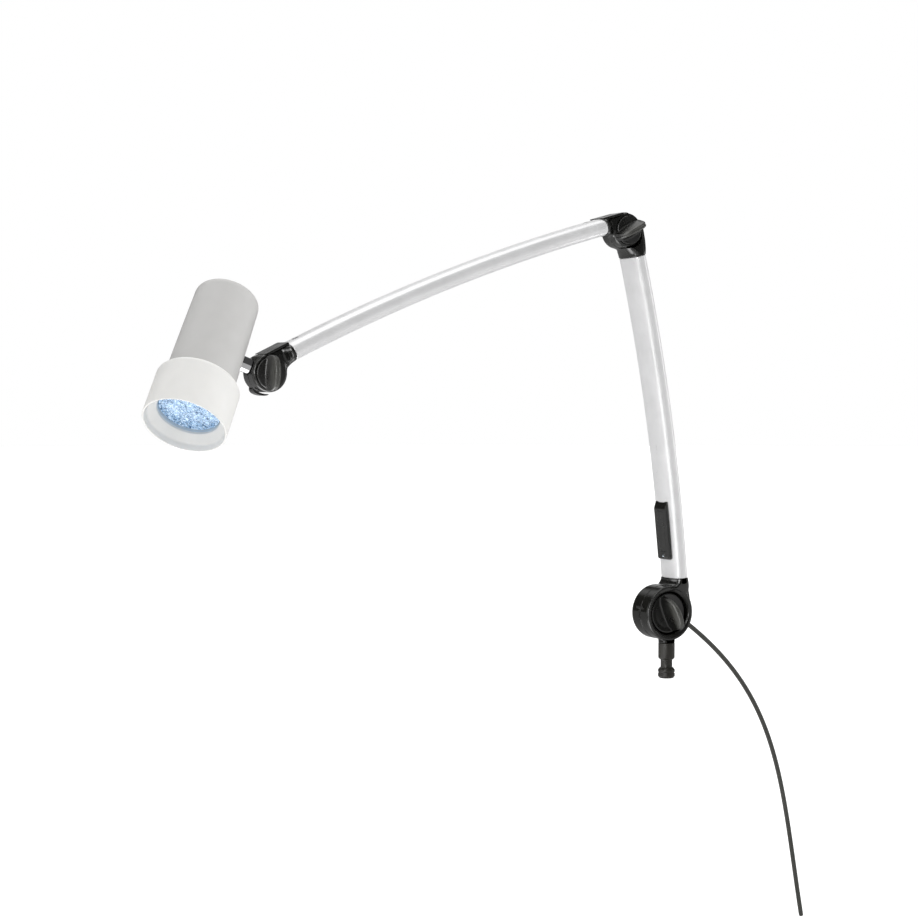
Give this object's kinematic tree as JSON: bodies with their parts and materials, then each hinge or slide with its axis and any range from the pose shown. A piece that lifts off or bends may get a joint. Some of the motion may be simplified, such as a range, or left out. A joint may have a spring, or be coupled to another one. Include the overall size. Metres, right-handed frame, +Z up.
{
  "type": "examination light",
  "caption": "Jointed examination lamp: a pin-mounted friction hinge, two gently bowed oval tubes, an elbow and a swivelling cylindrical spot head with a flared white shade.",
  "frame": {"origin": "centre of the mounting pin's lower end face", "axes": "+Z up along the pin, hinge axes along Y with the tension knobs facing -Y, head on the -X side"},
  "size_m": [0.7465, 0.1175, 0.7311],
  "materials": {
    "black_plastic": "satin moulded black plastic",
    "black_gloss": "glossier moulded black plastic",
    "anodised": "matt silver anodised extrusion",
    "light_grey": "light grey satin powder coat",
    "off_white": "off-white satin plastic",
    "chrome": "polished chrome",
    "steel": "bright steel",
    "aluminium": "plain machined aluminium",
    "clear": "clear optical plastic",
    "board": "circuit board laminate",
    "led": "LED package with phosphor",
    "cable": "dark grey cable sheath",
    "brass": "turned brass",
    "fibre": "friction lining"
  },
  "bodies": {
    "base": {"mounting_pin": "black_plastic", "base_hub": "black_gloss", "base_back_cover": "black_gloss", "base_axle": "steel", "base_friction_disc": "fibre", "base_disc_spring": "steel", "power_cable": "cable", "cable_grommet": "black_plastic"},
    "base_knob": {"base_tension_knob": "black_plastic"},
    "lower_arm": {"lower_arm_base_cap": "black_plastic", "lower_arm_tube": "anodised", "lower_arm_elbow_cap": "black_plastic", "switch_housing": "black_plastic", "switch_board": "board", "micro_switch": "steel", "indicator_lens": "clear", "lower_arm_wire": "cable", "elbow_axle": "steel", "elbow_friction_disc": "fibre", "lower_arm_screw_1": "steel", "lower_arm_screw_2": "steel"},
    "switch_button": {"switch_button": "black_plastic"},
    "elbow_knob": {"elbow_tension_knob": "black_plastic"},
    "upper_arm": {"upper_arm_elbow_cap": "black_plastic", "upper_arm_tube": "anodised", "upper_arm_head_cap": "black_plastic", "upper_arm_wire": "cable", "upper_arm_screw_1": "steel", "upper_arm_screw_2": "steel"},
    "head_hinge": {"head_hinge": "black_plastic", "head_stem": "chrome", "head_axle": "steel", "head_friction_disc": "fibre"},
    "head_knob": {"head_tension_knob": "black_plastic"},
    "head": {"head_body": "light_grey", "head_shade": "off_white", "shade_ring": "aluminium", "heat_sink": "aluminium", "led_board": "off_white", "led_1": "led", "led_2": "led", "led_3": "led", "lens_holder": "off_white", "collimator_lens_1": "clear", "collimator_lens_2": "clear", "collimator_lens_3": "clear", "front_window": "clear", "stem_socket": "brass", "stem_retaining_ring": "steel", "driver_board": "board", "driver_capacitor": "aluminium"}
  },
  "joints": [
    {"name": "base_tilt", "type": "hinge", "parent": "base", "child": "lower_arm", "pos_m": [0, 0.007, 0.065], "axis": [0, 1, 0], "range_deg": [-45, 24], "stiffness_Nm_per_rad": 10, "springref_deg": 21.97},
    {"name": "base_knob_turn", "type": "hinge", "parent": "base", "child": "base_knob", "pos_m": [0, 0.007, 0.065], "axis": [0, 1, 0], "range_deg": [-180, 180]},
    {"name": "elbow_tilt", "type": "hinge", "parent": "lower_arm", "child": "upper_arm", "pos_m": [-0.0512, 0.007, 0.4426], "axis": [0, 1, 0], "range_deg": [-45, 70], "stiffness_Nm_per_rad": 8, "springref_deg": 24.08},
    {"name": "elbow_knob_turn", "type": "hinge", "parent": "lower_arm", "child": "elbow_knob", "pos_m": [-0.0512, 0.007, 0.4426], "axis": [0, 1, 0], "range_deg": [-180, 180]},
    {"name": "head_tilt", "type": "hinge", "parent": "upper_arm", "child": "head_hinge", "pos_m": [-0.4326, 0.007, 0.3035], "axis": [0, 1, 0], "range_deg": [-60, 10], "stiffness_Nm_per_rad": 2, "springref_deg": 9.93},
    {"name": "head_knob_turn", "type": "hinge", "parent": "head_hinge", "child": "head_knob", "pos_m": [-0.4326, 0.007, 0.3035], "axis": [0, 1, 0], "range_deg": [-180, 180]},
    {"name": "head_swivel", "type": "hinge", "parent": "head_hinge", "child": "head", "pos_m": [-0.4848, 0.007, 0.3239], "axis": [-0.9314, 0, 0.364], "range_deg": [-150, 150], "stiffness_Nm_per_rad": 0.1, "springref_deg": 1.03},
    {"name": "switch_press", "type": "slide", "parent": "lower_arm", "child": "switch_button", "axis": [0.9942, 0, 0.1075], "range_m": [0, 0.0008], "stiffness_N_per_m": 400}
  ]
}
